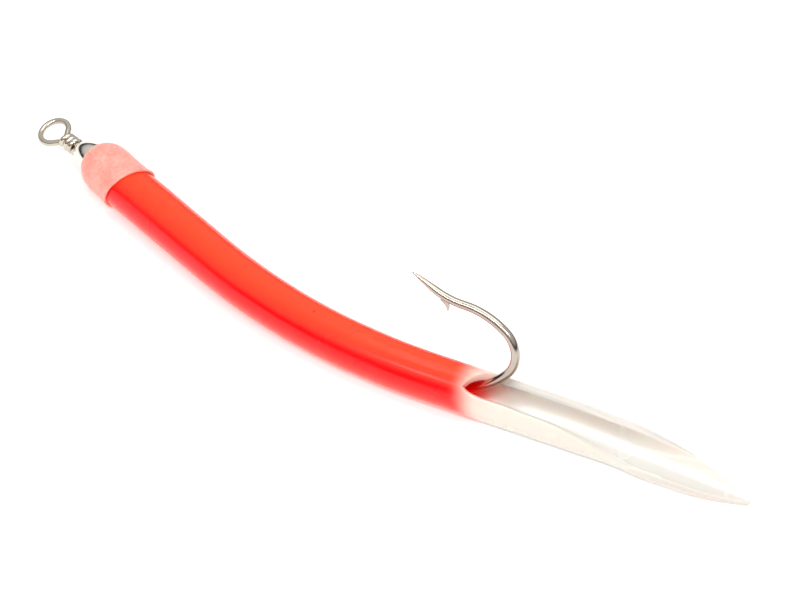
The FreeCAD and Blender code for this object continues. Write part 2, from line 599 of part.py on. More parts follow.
    # The barb is a thin wedge raised from the inside of the wire, measured along the point's axis.
    barb = new_sketch(body, "BarbOutline", "XZ_Plane", "hook_lean", (-1, 0, 0))
    corners = []
    for back_of, drop_of, back, drop in (
        ("dims.barb_back", "0", size["barb_back"], 0),
        ("(dims.barb_back - dims.barb_root)", "0", size["barb_back"] - size["barb_root"], 0),
        ("(dims.barb_back + dims.barb_lead)", "dims.barb_drop",
         size["barb_back"] + size["barb_lead"], size["barb_drop"]),
    ):
        corners.append((
            base[0] + back * cos(lean) - drop * sin(lean),
            base[1] - back * sin(lean) - drop * cos(lean),
            f"{base_x_of} + {back_of} * cos(dims.kick_turn) - {drop_of} * sin(dims.kick_turn)",
            f"{base_y_of} - {back_of} * sin(dims.kick_turn) - {drop_of} * cos(dims.kick_turn)",
        ))
    outline(barb, corners)
    wedge = body.newObject("PartDesign::Pad", "Barb")
    wedge.Profile = barb
    wedge.SideType = "Symmetric"
    wedge.setExpression("Length", "dims.barb_thickness")

    # The eye is a ring in the upright plane of the shank, centred on the tube's axis.
    ring = body.newObject("PartDesign::AdditiveTorus", "HookEye")
    ring.AttachmentSupport = [(origin_plane(body, "XZ_Plane"), "")]
    ring.MapMode = "FlatFace"
    reach_of = f"({shank_of} + {joint_of})"
    ring.setExpression(
        "AttachmentOffset.Base.x",
        f"-dims.bend_radius * sin(dims.bend_angle) - {reach_of} * cos(dims.bend_angle)",
    )
    ring.setExpression("AttachmentOffset.Base.y", "dims.shank_drop")
    ring.setExpression(
        "AttachmentOffset.Base.z",
        f"-dims.bend_radius * (1 - cos(dims.bend_angle)) - {reach_of} * sin(dims.bend_angle)",
    )
    ring.setExpression("AttachmentOffset.Rotation.Yaw", "180")
    ring.setExpression("AttachmentOffset.Rotation.Pitch", "dims.bend_angle")
    ring.setExpression("Radius1", "dims.hook_eye_ring")
    ring.setExpression("Radius2", "dims.hook_eye_wire / 2")
    place(body, TAIL_X, TAIL_Y, f"{TUBE_Z} - dims.shank_drop", (0, 0, 1), "dims.bend_angle")
    return body


def check(pieces):
    """Stop on any failed object, and on any piece that is not one valid solid."""
    doc.recompute()
    for item in doc.Objects:
        if "Invalid" in item.State or "Error" in item.State:
            raise RuntimeError(f"{item.Name} failed: {item.State}")
    for piece in pieces:
        shape = piece.Shape
        if shape.isNull() or not shape.isValid() or len(shape.Solids) != 1:
            raise RuntimeError(f"{piece.Label} is not one valid solid")


def main():
    make_sheet()
    pieces = [make_tube(), make_collar(), *make_swivel(), make_hook()]
    check(pieces)
    os.makedirs("parts", exist_ok=True)
    for piece in pieces:
        box = piece.Shape.BoundBox
        piece.Shape.exportStep(f"parts/{piece.Label}.step")
        print(f"{piece.Label}: {piece.Shape.Volume:.1f} mm3, x {box.XMin:.2f}..{box.XMax:.2f},"
              f" y {box.YMin:.2f}..{box.YMax:.2f}, z {box.ZMin:.2f}..{box.ZMax:.2f}")


main()
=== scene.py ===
from math import atan2, cos, exp, pi, radians, sin, sqrt

import bmesh
import bpy
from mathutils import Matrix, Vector, noise


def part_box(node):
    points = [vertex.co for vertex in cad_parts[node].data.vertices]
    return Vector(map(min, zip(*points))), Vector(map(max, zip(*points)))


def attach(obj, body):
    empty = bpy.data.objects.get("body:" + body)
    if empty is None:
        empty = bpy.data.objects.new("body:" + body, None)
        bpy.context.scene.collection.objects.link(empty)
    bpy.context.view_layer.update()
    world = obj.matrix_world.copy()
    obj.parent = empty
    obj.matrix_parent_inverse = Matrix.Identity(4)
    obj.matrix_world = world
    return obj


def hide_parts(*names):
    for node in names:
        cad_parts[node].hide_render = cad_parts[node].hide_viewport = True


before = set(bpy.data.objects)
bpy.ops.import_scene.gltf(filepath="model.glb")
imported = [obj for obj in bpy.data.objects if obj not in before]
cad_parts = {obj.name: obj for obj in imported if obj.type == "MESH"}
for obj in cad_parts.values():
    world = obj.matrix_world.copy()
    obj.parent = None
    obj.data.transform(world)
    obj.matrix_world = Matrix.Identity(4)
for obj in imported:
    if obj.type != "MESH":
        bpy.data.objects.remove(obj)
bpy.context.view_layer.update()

mm = 0.001

# the lure lies on the collar, so the floor is at the collar's lowest point
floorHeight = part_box("collar")[0][2]
lineEye = Vector((0, 0, 0))
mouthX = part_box("tube")[0][0] / mm

# route of the tube's middle line, in millimetres and degrees
route = {
    "straight": 37.4,
    "bendRadius": 136.0,
    "bendAngle": 25.0,
    "tail": 71.0,
    "height": 1.5552,
    "cutStart": 5.6,
    "sag": 0.33,
}
bendLength = route["bendRadius"] * radians(route["bendAngle"])
tubeLength = route["straight"] + bendLength + route["tail"]
cutAt = route["straight"] + bendLength + route["cutStart"]
print("stage: frame loaded, tube length", round(tubeLength, 1))


def easeInOut(x):
    x = min(max(x, 0.0), 1.0)
    return x * x * (3 - 2 * x)


def smoothTable(table, x):
    # a smooth curve through the table's points that doesn't overshoot
    if x <= table[0][0]:
        return table[0][1]
    if x >= table[-1][0]:
        return table[-1][1]
    i = max(k for k in range(len(table) - 1) if table[k][0] <= x)
    (x0, y0), (x1, y1) = table[i], table[i + 1]
    step = (y1 - y0) / (x1 - x0)
    before = (y0 - table[i - 1][1]) / (x0 - table[i - 1][0]) if i else step
    after = (table[i + 2][1] - y1) / (table[i + 2][0] - x1) if i + 2 < len(table) else step
    slope0 = 0.0 if before * step <= 0 else 2 * before * step / (before + step)
    slope1 = 0.0 if after * step <= 0 else 2 * after * step / (after + step)
    t, h = (x - x0) / (x1 - x0), x1 - x0
    return (
        (2 * t**3 - 3 * t**2 + 1) * y0 + (t**3 - 2 * t**2 + t) * h * slope0
        + (3 * t**2 - 2 * t**3) * y1 + (t**3 - t**2) * h * slope1
    )


def routePoint(s):
    # place, forward and side directions at a length s from the tube's mouth
    straight, bend = route["straight"], route["bendRadius"]
    if s <= straight:
        place, angle = Vector((mouthX + s, 0, 0)), 0.0
    else:
        angle = min((s - straight) / bend, radians(route["bendAngle"]))
        place = Vector((mouthX + straight + bend * sin(angle), bend * (1 - cos(angle)), 0))
        rest = s - straight - bendLength
        if rest > 0:
            place += rest * Vector((cos(angle), sin(angle), 0))
    place.z = route["height"] - route["sag"] * easeInOut((s - 25) / 60)
    return place, Vector((cos(angle), sin(angle), 0)), Vector((-sin(angle), cos(angle), 0))


def makePiece(name, verts, faces, sharp=40, attributes=None):
    mesh = bpy.data.meshes.new(name)
    mesh.from_pydata([v * mm for v in verts], [], faces)
    for label, values in (attributes or {}).items():
        mesh.attributes.new(label, "FLOAT", "POINT").data.foreach_set("value", values)
    for polygon in mesh.polygons:
        polygon.use_smooth = True
    piece = bpy.data.objects.new(name, mesh)
    bpy.context.scene.collection.objects.link(piece)
    build = bmesh.new()
    build.from_mesh(mesh)
    bmesh.ops.remove_doubles(build, verts=build.verts, dist=0.001 * mm)
    bmesh.ops.recalc_face_normals(build, faces=build.faces)
    build.to_mesh(mesh)
    build.free()
    mesh.set_sharp_from_angle(angle=radians(sharp))
    return piece


def writeAttribute(piece, name, valueAt):
    attribute = piece.data.attributes.new(name, "FLOAT", "POINT")
    attribute.data.foreach_set("value", [valueAt(v.co / mm) for v in piece.data.vertices])


def nearestOnRoute(point):
    # length along the route and offset to the side, for a point in millimetres
    straight, bend, angle = route["straight"], route["bendRadius"], radians(route["bendAngle"])
    if point.x <= mouthX + straight:
        return point.x - mouthX, point.y
    turn = atan2(point.x - mouthX - straight, bend - point.y)
    if turn <= angle:
        radius = sqrt((point.x - mouthX - straight) ** 2 + (bend - point.y) ** 2)
        return straight + bend * turn, bend - radius
    start = Vector((mouthX + straight + bend * sin(angle), bend * (1 - cos(angle)), 0))
    away = Vector((point.x, point.y, 0)) - start
    forward, side = Vector((cos(angle), sin(angle), 0)), Vector((-sin(angle), cos(angle), 0))
    return straight + bendLength + away.dot(forward), away.dot(side)


# soft tube
softTube = {
    "outer": 5.0,
    "around": 56,
    "step": 0.8,
    "waviness": 0.05,
    "rimRound": 0.28,
    # distance behind the front of the cut, then length round the outer surface up to the rim
    "nearRim": [(2.6, 11.95), (3.0, 11.6), (3.7, 11.2), (5, 10.85), (7.1, 10.65), (12, 10.75),
                (15.4, 10.55), (22, 10.3), (28.5, 9.3), (34.4, 7.85), (38, 6.3), (41, 5.2),
                (46, 4.5), (51, 4.25), (55, 3.75), (58, 3.1), (60, 2.55), (62.5, 1.75),
                (64.4, 1.1), (65.4, 0.6)],
    "farRim": [(2.6, 19.46), (3.0, 18.4), (3.8, 16.9), (5, 15.1), (5.9, 13.9), (7.2, 13.0), (9, 12.35),
               (11.5, 11.95), (23, 11.85), (28, 11.3), (33.7, 10.3), (38, 9.4), (43.5, 8.1), (48, 7.2),
               (51, 6.4), (55, 5.05), (58, 3.9), (60, 3.05), (62.5, 1.95), (64.4, 1.15), (65.4, 0.65)],
    "nearCurve": [(0, 5), (33, 5), (38, 5.5), (41, 6.6), (46, 9), (51, 10.5), (60, 14), (65.4, 20)],
    "farCurve": [(0, 5), (33, 5), (43.5, 5.8), (51, 7.5), (60, 11), (65.4, 20)],
    "wall": [(0, 1.7), (40, 1.7), (51, 1.6), (58, 1.35), (65.4, 0.95)],
    # painted highlight along the trough, where the lamp's reflection lies: distance behind the front of the
    # cut, then its offset to the far side
    "glint": [(17, 2.46), (22.7, 2.46), (29.4, 2.26), (37, 1.9), (44, 1.6), (51, 1.2), (58.4, 0.8)],
    "glintWidth": 0.62,
    "glintStart": 9,
    "glintGrow": 7,
    "fineStep": 0.2,
    "fineReach": 4,
    "tipStep": 0.35,
    "tipReach": 6,
    "mouthRound": 1.5,
    "mouthReach": 1.6,
}


def tubeSection(s):
    # closed loop of (side, up) points: outer surface from the near rim to the far rim, then back inside
    p = softTube
    behind = s - cutAt
    count = p["around"]
    wall = smoothTable(p["wall"], behind)
    rims = (smoothTable(p["nearRim"], behind), smoothTable(p["farRim"], behind))
    curves = (smoothTable(p["nearCurve"], behind), smoothTable(p["farCurve"], behind))
    opened = behind > p["nearRim"][0][0]

    def at(length, depth):
        # length is negative on the near side; depth is measured inwards from the outer surface
        curve = curves[0] if length < 0 else curves[1]
        angle = length / curve
        return ((curve - depth) * sin(angle), -p["outer"] + curve - (curve - depth) * cos(angle))

    roundOff = min(p["rimRound"], 0.3 * wall) if opened else 0.0
    corner = 0.3 * roundOff  # where the rounding's middle point lies
    lengths = []
    for k in range(count + 1):
        share = -1 + 2 * k / count
        length = share * (rims[0] if share < 0 else rims[1])
        lengths.append(max(min(length, rims[1] - roundOff), roundOff - rims[0]))
    loop = [at(length, 0.0) for length in lengths]
    loop.append(at(rims[1] - corner, corner))
    loop.append(at(rims[1], roundOff))
    loop.append(at(rims[1], wall - roundOff))
    loop.append(at(rims[1] - corner, wall - corner))
    loop += [at(length, wall) for length in reversed(lengths)]
    loop.append(at(corner - rims[0], wall - corner))
    loop.append(at(-rims[0], wall - roundOff))
    loop.append(at(-rims[0], roundOff))
    loop.append(at(corner - rims[0], corner))
    return loop, opened


def makeTube():
    p = softTube
    stations, s = [], 0.0
    while s < tubeLength - 1e-6:
        stations.append(s)
        near = abs(s - cutAt - p["fineReach"]) < p["fineReach"]  # close steps where the cut opens
        byTip = s > tubeLength - p["tipReach"]
        s += p["fineStep"] if near else (p["tipStep"] if byTip else p["step"])
    stations.append(tubeLength)
    verts, loops, flags, insideShade, glint = [], [], [], [], []
    for s in stations:
        place, _, side = routePoint(s)
        behind = s - cutAt
        glintAt = smoothTable(p["glint"], behind)
        glintShare = easeInOut((behind - p["glintStart"]) / p["glintGrow"])
        section, opened = tubeSection(s)
        inwards = p["mouthRound"] * (1 - sqrt(1 - max(0.0, 1 - s / p["mouthReach"]) ** 2))
        row = []
        for k, (x, z) in enumerate(section):
            isRim = p["around"] < k < p["around"] + 5 or k > 2 * p["around"] + 5
            isInside = k > p["around"] and not isRim
            # painted shade: the cut rims and the trough's inside are darkened, most on the near side and
            # floor, less on the far wall
            insideShade.append(1.0 if isRim else (1 - 0.6 * easeInOut((x - 0.2) / 2.4)) * isInside)
            # painted highlight: a bright line along the trough's inside
            glint.append(isInside * glintShare * exp(-((x - glintAt) / p["glintWidth"]) ** 2))
            wave = p["waviness"] * noise.noise(Vector((s / 9, x / 6, z / 6)))
            size = sqrt(x * x + z * z) or 1.0
            scale = 1 + (wave - (inwards if size > 4.4 else 0)) / size
            row.append(len(verts))
            verts.append(place + side * (x * scale) + Vector((0, 0, z * scale)))
        loops.append(row)
        flags.append(opened)
    count = p["around"]
    total = len(loops[0])
    wallPart = list(range(count)) + list(range(count + 5, 2 * count + 5))
    faces = []
    for i in range(len(loops) - 1):
        a, b = loops[i], loops[i + 1]
        for k in range(total):
            if not flags[i + 1] and k not in wallPart:
                continue
            n = (k + 1) % total
            faces.append((a[k], a[n], b[n], b[k]))
    mouth, tip = loops[0], loops[-1]
    for k in range(count):
        faces.append((mouth[k], mouth[k + 1], mouth[2 * count + 4 - k], mouth[2 * count + 5 - k]))
        faces.append((tip[k], tip[k + 1], tip[2 * count + 4 - k], tip[2 * count + 5 - k]))
    faces.append(tuple(tip[count:count + 6]))
    faces.append(tuple(tip[2 * count + 5:] + [tip[0]]))
    tube = makePiece("softTube", verts, faces, 38, {"insideTubeShade": insideShade, "paintedTroughGlint": glint})
    writeAttribute(tube, "alongCut", lambda v: nearestOnRoute(v)[0] - cutAt)
    writeAttribute(tube, "aroundTube", lambda v: abs(atan2(nearestOnRoute(v)[1], v.z - route["height"])) / pi)
    return tube


# latex collar
latexCollar = {
    # distance from the line eye, then the dome's radius
    "profile": [(13.7, 3.12), (13.95, 3.5), (14.3, 3.98), (14.9, 4.55), (15.7, 5.02), (16.7, 5.36),
                (17.8, 5.53), (19.2, 5.58), (21, 5.5), (23.5, 5.42), (26.5, 5.4)],
    "inside": 5.02,
    "gripRadius": 2.7,
    "rear": 25.85,
    "slant": 20.0,
    "slantTurn": 30.0,
    "edgeRadius": 5.4,
    "edgeWander": 0.1,
    "edgeLift": 0.2,
    "edgeRoll": 1.3,
    "flatSide": 0.45,
    "flatTurn": 138.0,
    "flatUntil": 17,
    "flatFade": 9,
    "lip": 0.3,
    # inside surface from the edge forward: distance from the line eye, then radius
    "lining": [(17.6, 5.02), (15.2, 3.9)],
    "around": 128,
    "ripple": 0.035,
}


def makeCollar():
    p = latexCollar
    verts, rows = [], []
    start = p["profile"][0][0]
    for k in range(p["around"]):
        angle = 2 * pi * k / p["around"]  # from straight up, towards +Y
        slope = sin(radians(p["slant"])) / cos(radians(p["slant"]))
        rear = p["rear"] + p["edgeRadius"] * slope * cos(angle - radians(p["slantTurn"]))
        rear += p["edgeWander"] * noise.noise(Vector((2.2 * cos(angle), 2.2 * sin(angle), 4)))
        outline = []
        for j in range(41):
            x = start + (rear - p["lip"] - start) * (j / 40) ** 1.25
            lift = p["edgeLift"] * easeInOut(x - rear + p["edgeRoll"])  # the edge rolls up a little
            outline.append((x, smoothTable(p["profile"], x) + lift))
        middle = smoothTable(p["profile"], rear) + p["edgeLift"] - p["lip"]
        for j in range(1, 8):
            turn = pi * j / 8
            outline.append((rear - p["lip"] + p["lip"] * sin(turn), middle + p["lip"] * cos(turn)))
        outline.append((rear - 0.6, p["inside"]))
        outline += p["lining"]
        outline.append((start + 0.15, p["gripRadius"]))
        outline.append((start - 0.05, p["gripRadius"]))
        row = []
        for x, r in outline:
            flat = p["flatSide"] * max(0.0, cos(angle + radians(p["flatTurn"])))
            r -= flat * (1 - easeInOut((x - p["flatUntil"]) / p["flatFade"]))
            r += p["ripple"] * noise.noise(Vector((x / 1.6, 3 * cos(angle), 3 * sin(angle))))
            r = max(r, p["gripRadius"])
            row.append(len(verts))
            verts.append(Vector((x, r * sin(angle), route["height"] + r * cos(angle))))
        rows.append(row)
    faces = []
    length = len(rows[0])
    for k in range(p["around"]):
        a, b = rows[k], rows[(k + 1) % p["around"]]
        for j in range(length):
            faces.append((a[j], a[(j + 1) % length], b[(j + 1) % length], b[j]))
    return makePiece("latexCollar", verts, faces, 60)


def sweepWire(points, radii, sides=20, flatten=1.0, across=None, closed=False):
    # verts and faces of a round wire along points; flatten thins it in the direction called across
    count = len(points)
    verts, faces, rows = [], [], []
    normal = None
    for i, point in enumerate(points):
        ahead = points[(i + 1) % count] if closed or i + 1 < count else point
        back = points[i - 1] if closed or i else point
        forward = (ahead - back).normalized()
        if normal is None:
            normal = across or Vector((0, 0, 1))
        normal = (normal - forward * normal.dot(forward)).normalized()
        other = forward.cross(normal)
        row = []
        for k in range(sides):
            angle = 2 * pi * k / sides
            row.append(len(verts))
            verts.append(point + radii[i] * (normal * (flatten * cos(angle)) + other * sin(angle)))
        rows.append(row)
    last = count if closed else count - 1
    for i in range(last):
        a, b = rows[i], rows[(i + 1) % count]
        for k in range(sides):
            n = (k + 1) % sides
            faces.append((a[k], a[n], b[n], b[k]))
    if not closed:
        faces.append(tuple(reversed(rows[0])))
        faces.append(tuple(rows[-1]))
    return verts, faces


def joinParts(name, parts, sharp=40):
    verts, faces = [], []
    for partVerts, partFaces in parts:
        base = len(verts)
        verts += partVerts
        faces += [tuple(base + i for i in face) for face in partFaces]
    return makePiece(name, verts, faces, sharp)


def smoothPath(points, each=8):
    # Catmull-Rom curve through the points
    path = []
    ends = [2 * points[0] - points[1]] + points + [2 * points[-1] - points[-2]]
    for i in range(1, len(ends) - 2):
        a, b, c, d = ends[i - 1:i + 3]
        for k in range(each):
            t = k / each
            path.append(0.5 * (2 * b + (c - a) * t + (2 * a - 5 * b + 4 * c - d) * t**2
                               + (3 * b - a - 3 * c + d) * t**3))
    path.append(points[-1].copy())
    return path


# line eye of the swivel
lineEyeWire = {
    "wire": 1.25,
    "ring": 3.0,
    "roll": 20.5,
    "droop": 6.2,
    "wrapRadius": 1.17,
    "wrapStart": 4.35,
    "wrapPitch": 1.24,
    "turns": 3.1,
    "headAt": 10.4,
    # wire between the head and the ring, then where it crosses itself: along the shank, then across
    "neck": [(8, 0), (5.5, 0), (4.3, 0.05), (3.55, 0.42)],
    "ringDegrees": (44, 317, 16),
    "crossing": (3.3, -1.12),
    # retaining head: distance from its middle, then radius
    "head": [(-1.1, 0.1), (-0.95, 0.55), (-0.6, 0.95), (0, 1.12), (0.6, 0.95), (0.95, 0.55), (1.1, 0.1)],
    "snipped": 0.55,
}


def makeLineEye():
    p = lineEyeWire
    droop, roll = radians(p["droop"]), radians(p["roll"])
    along = Vector((cos(droop), 0, sin(droop)))
    up = Vector((-sin(droop), 0, cos(droop)))
    side = Vector((0, 1, 0))
    across = side * cos(roll) + up * sin(roll)
    ring = p["ring"]

    def inRing(x, y):
        return lineEye + along * x + across * y

    points = [inRing(x, y) for x, y in [(p["headAt"], 0)] + p["neck"]]
    for angle in range(*p["ringDegrees"]):
        points.append(inRing(ring * cos(radians(angle)), ring * sin(radians(angle))))
    points.append(inRing(*p["crossing"]))
    path = smoothPath(points, 7)
    wrapTurn = p["turns"] * 2 * pi
    count = 120
    helix = []
    for k in range(count + 1):
        angle = wrapTurn * k / count
        x = p["wrapStart"] - 0.35 + p["wrapPitch"] * angle / (2 * pi) + 0.35 * easeInOut(k / 12)
        outwards = across * cos(angle) + across.cross(along) * sin(angle)
        helix.append(lineEye + along * x - p["wrapRadius"] * outwards)
    path = path + helix[1:]
    wire = p["wire"] / 2
    radii = [wire] * len(path)
    for k in range(3):  # the wrap's end is snipped
        radii[-1 - k] = wire * (p["snipped"] + (1 - p["snipped"]) * k / 6)
    head = sweepWire([inRing(p["headAt"] + x, 0) for x, _ in p["head"]], [r for _, r in p["head"]])
    return joinParts("lineEyeWire", [sweepWire(path, radii, 24), head], 50)


# hook
hookWire = {
    "wire": 1.9,
    "eyeRing": 1.95,
    "eyeWire": 2.0,
    "eyeAt": 31.015,
    "shankDrop": 1.4,
    "lean": 10.0,
    "curves": [(20.3, 51.3), (6.2, 94.2), (16.5, 34.5)],
    "spear": 0.5,
    "kick": (17.0, 23.0),
    "point": 5.9,
    # distance from the tip, then radius of the wire
    "taper": [(0, 0.035), (0.9, 0.27), (2.8, 0.52), (4.7, 0.69), (6.5, 0.82), (9, 0.86), (15, 0.91),
              (22, 0.95)],
    "barbBack": (2.5, 4.0, 4.72),
    "barbDrop": (0.25, 1.15, 2.36),
    "barbRadii": (0.95, 0.5, 0.07),
    # painted reflection: the tube's red shows on the wire below this height, and fades over this length
    # behind the cut
    "redReflectionBelow": 8,
    "redReflectionFrom": 2.5,
    "redReflectionFade": 7,
}


def hookPath():
    p = hookWire
    turn = radians(route["bendAngle"])
    end = Vector((
        mouthX + route["straight"] + route["bendRadius"] * sin(turn),
        route["bendRadius"] * (1 - cos(turn)), route["height"] - p["shankDrop"]))
    forward, side = Vector((cos(turn), sin(turn), 0)), Vector((-sin(turn), cos(turn), 0))
    lean = radians(p["lean"])
    up = side * sin(lean) + Vector((0, 0, cos(lean)))
    start = p["eyeAt"] + sqrt(p["eyeRing"] ** 2 - p["shankDrop"] ** 2)
    shank = []
    level = Vector((0, 0, route["height"] - p["shankDrop"]))
    for k in range(30):
        shank.append(level + Vector((start + (mouthX + route["straight"] - start) * k / 30, 0, 0)))
    for k in range(60):
        angle = turn * k / 60
        shank.append(level + Vector((
            mouthX + route["straight"] + route["bendRadius"] * sin(angle),
            route["bendRadius"] * (1 - cos(angle)), 0)))
    flat, heading, place = [(0.0, 0.0)], 0.0, (0.0, 0.0)
    for radius, sweep in p["curves"]:
        steps = max(12, int(sweep))
        for k in range(1, steps + 1):
            angle = heading + radians(sweep) * k / steps
            flat.append((place[0] + radius * (sin(angle) - sin(heading)),
                         place[1] + radius * (cos(heading) - cos(angle))))
        heading, place = heading + radians(sweep), flat[-1]
    place = (place[0] - p["spear"], place[1])
    flat.append(place)
    radius, sweep = p["kick"]
    for k in range(1, 15):
        angle = radians(sweep) * k / 14
        flat.append((place[0] - radius * sin(angle), place[1] + radius * (1 - cos(angle))))
    base = flat[-1]
    lift = radians(sweep)
    for k in range(1, 31):
        reach = p["point"] * k / 30
        flat.append((base[0] - reach * cos(lift), base[1] + reach * sin(lift)))
    path = shank + [end + forward * x + up * y for x, y in flat]
    barb = []
    for back, drop in zip(p["barbBack"], p["barbDrop"]):
        x = base[0] + back * cos(lift) - drop * sin(lift)
        y = base[1] - back * sin(lift) - drop * cos(lift)
        barb.append(end + forward * x + up * y)
    return path, barb, forward.cross(up)


def makeHook():
    p = hookWire
    path, barb, across = hookPath()
    lengths = [0.0]
    for a, b in zip(path, path[1:]):
        lengths.append(lengths[-1] + (b - a).length)
    radii = [smoothTable(p["taper"], lengths[-1] - length) for length in lengths]
    centre = Vector((p["eyeAt"], 0, route["height"]))
    ring = []
    for k in range(56):
        angle = 2 * pi * k / 56
        ring.append(centre + p["eyeRing"] * Vector((cos(angle), 0, sin(angle))))
    thorn = smoothPath(barb, 8)
    thornRadii = [smoothTable([(0, p["barbRadii"][0]), (0.5, p["barbRadii"][1]), (1, p["barbRadii"][2])],
                              k / (len(thorn) - 1)) for k in range(len(thorn))]
    return joinParts("hookWire", [
        sweepWire(path, radii, 28, across=across),
        sweepWire(ring, [p["eyeWire"] / 2] * 56, 20, closed=True),
        sweepWire(thorn, thornRadii, 16, flatten=0.42, across=across),
    ], 55)


# node groups that several finishes share
def newGroup(name, inputs, outputs):
    group = bpy.data.node_groups.new(name, "ShaderNodeTree")
    for label, value in inputs:
        kind = "NodeSocketVector" if isinstance(value, tuple) else "NodeSocketFloat"
        socket = group.interface.new_socket(label, in_out="INPUT", socket_type=kind)
        socket.default_value = value
    for label in outputs:
        group.interface.new_socket(label, in_out="OUTPUT", socket_type="NodeSocketFloat")
    start, end = group.nodes.new("NodeGroupInput"), group.nodes.new("NodeGroupOutput")
    return group, start, end


def addMath(tree, kind, a, b=None, c=None, clamp=False):
    node = tree.nodes.new("ShaderNodeMath")
    node.operation, node.use_clamp = kind, clamp
    for socket, value in zip(node.inputs, (a, b, c)):
        if value is None:
            continue
        if isinstance(value, (int, float)):
            socket.default_value = value
        else:
            tree.links.new(value, socket)
    return node.outputs[0]


def addNoise(tree, vector, scale, detail=2.0, roughness=0.5):
    node = tree.nodes.new("ShaderNodeTexNoise")
    node.inputs["Detail"].default_value = detail
    node.inputs["Roughness"].default_value = roughness
    if isinstance(scale, (int, float)):
        node.inputs["Scale"].default_value = scale
    else:
        tree.links.new(scale, node.inputs["Scale"])
    tree.links.new(vector, node.inputs["Vector"])
    return node.outputs["Fac"]


def makeGrain():
    # fine unevenness of moulded or dipped rubber, and of drawn wire
    group, start, end = newGroup(
        "surfaceGrain", [("Fine Scale", 900.0), ("Broad Scale", 120.0), ("Broad Share", 0.5)],
        ["Height", "Patches"])
    coords = group.nodes.new("ShaderNodeTexCoord").outputs["Object"]
    fine = addNoise(group, coords, start.outputs["Fine Scale"], 3.0, 0.6)
    broad = addNoise(group, coords, start.outputs["Broad Scale"], 2.0, 0.5)
    mixed = addMath(group, "MULTIPLY_ADD", broad, start.outputs["Broad Share"], fine)
    group.links.new(mixed, end.inputs["Height"])
    group.links.new(addMath(group, "SMOOTH_MAX", broad, 0.0, 0.1), end.inputs["Patches"])
    return group


def makePinhole():
    # one small bubble that broke through the surface
    group, start, end = newGroup(
        "pinhole", [("Centre", (0.0, 0.0, 0.0)), ("Radius", 0.0006)], ["Mask"])
    coords = group.nodes.new("ShaderNodeTexCoord").outputs["Object"]
    distance = group.nodes.new("ShaderNodeVectorMath")
    distance.operation = "DISTANCE"
    group.links.new(coords, distance.inputs[0])
    group.links.new(start.outputs["Centre"], distance.inputs[1])
    share = addMath(group, "DIVIDE", distance.outputs["Value"], start.outputs["Radius"])
    group.links.new(addMath(group, "SUBTRACT", 1.0, share, clamp=True), end.inputs["Mask"])
    return group


def placeGroup(tree, group, **values):
    node = tree.nodes.new("ShaderNodeGroup")
    node.node_tree = group
    for label, value in values.items():
        node.inputs[label.replace("_", " ")].default_value = value
    return node


def addRamp(tree, value, stops):
    node = tree.nodes.new("ShaderNodeValToRGB")
    elements = node.color_ramp.elements
    while len(elements) < len(stops):
        elements.new(0.5)
    for element, (position, colour) in zip(elements, stops):
        element.position = position
        element.color = (*colour, 1)
    tree.links.new(value, node.inputs["Fac"])
    return node.outputs["Color"]


def mixColours(tree, share, a, b, kind="MIX"):
    node = tree.nodes.new("ShaderNodeMix")
    node.data_type, node.blend_type = "RGBA", kind
    for socket, value in ((node.inputs[0], share), (node.inputs[6], a), (node.inputs[7], b)):
        if isinstance(value, (int, float)):
            socket.default_value = value
        elif isinstance(value, tuple):
            socket.default_value = (*value, 1)
        else:
            tree.links.new(value, socket)
    return node.outputs[2]


def newMaterial(name):
    material = bpy.data.materials.new(name)
    material.use_nodes = True
    tree = material.node_tree
    shader = tree.nodes["Principled BSDF"]
    return material, tree, shader


def addBump(tree, shader, height, strength, distance):
    bump = tree.nodes.new("ShaderNodeBump")
    bump.inputs["Strength"].default_value = strength
    bump.inputs["Distance"].default_value = distance
    tree.links.new(height, bump.inputs["Height"])
    tree.links.new(bump.outputs["Normal"], shader.inputs["Normal"])


def srgb(red, green, blue):
    shares = (red / 255, green / 255, blue / 255)
    return tuple(((c + 0.055) / 1.055) ** 2.4 if c > 10 / 255 else c / 12.92 for c in shares)


# soft tube's finish
tubeFinish = {
    # share of the way round from the top to the bottom, then colour: painted light and shade, with a lit
    # orange top, a shaded deep red core and a lighter lower side
    "paintedRedLightAndShade": [(0.0, srgb(250, 66, 26)), (0.16, srgb(250, 62, 24)), (0.27, srgb(246, 48, 24)),
                 (0.35, srgb(238, 0, 8)), (0.45, srgb(240, 4, 10)), (0.57, srgb(246, 40, 30)),
                 (1.0, srgb(250, 80, 66))],
    "milky": srgb(221, 216, 205),
    # inside: colour of the painted shade on the trough's inside and the cut rims
    "inside": srgb(206, 204, 197),
    # glint: colour of the painted highlight in the trough
    "glint": srgb(255, 254, 250),
    # blush: colour of the painted red glow on the first white past the cut
    "paintedRedGlow": srgb(250, 205, 190),
    # paintedLowerEdgeLight: colour of the painted highlight along the lower outline
    "paintedLowerEdgeLight": srgb(255, 150, 135),
    "fadeFrom": -1.7,
    "fadeTo": 5.6,
    "fadeLean": -3.0,
    "fadeDrift": 3.0,
    "redGlowStart": 1.15,
    "redGlowFall": 0.11,
    "roughness": 0.26,
    # length from the mouth, then degrees from the top towards the inside of the bend
    "pinholes": [(68.25, 10), (59.25, 86), (67.75, 60), (73, 66)],
    "pinholeRadius": 0.0005,
    "pinholeColour": srgb(190, 0, 6),
    # painted glow: emission on the lower half of the tube, red on the red part, faint on the white
    "redLowerGlow": (0.85, 0.1, 0.06),
    "whiteLowerGlow": (0.1, 0.095, 0.085),
    "lowerGlowStrength": 0.35,
}


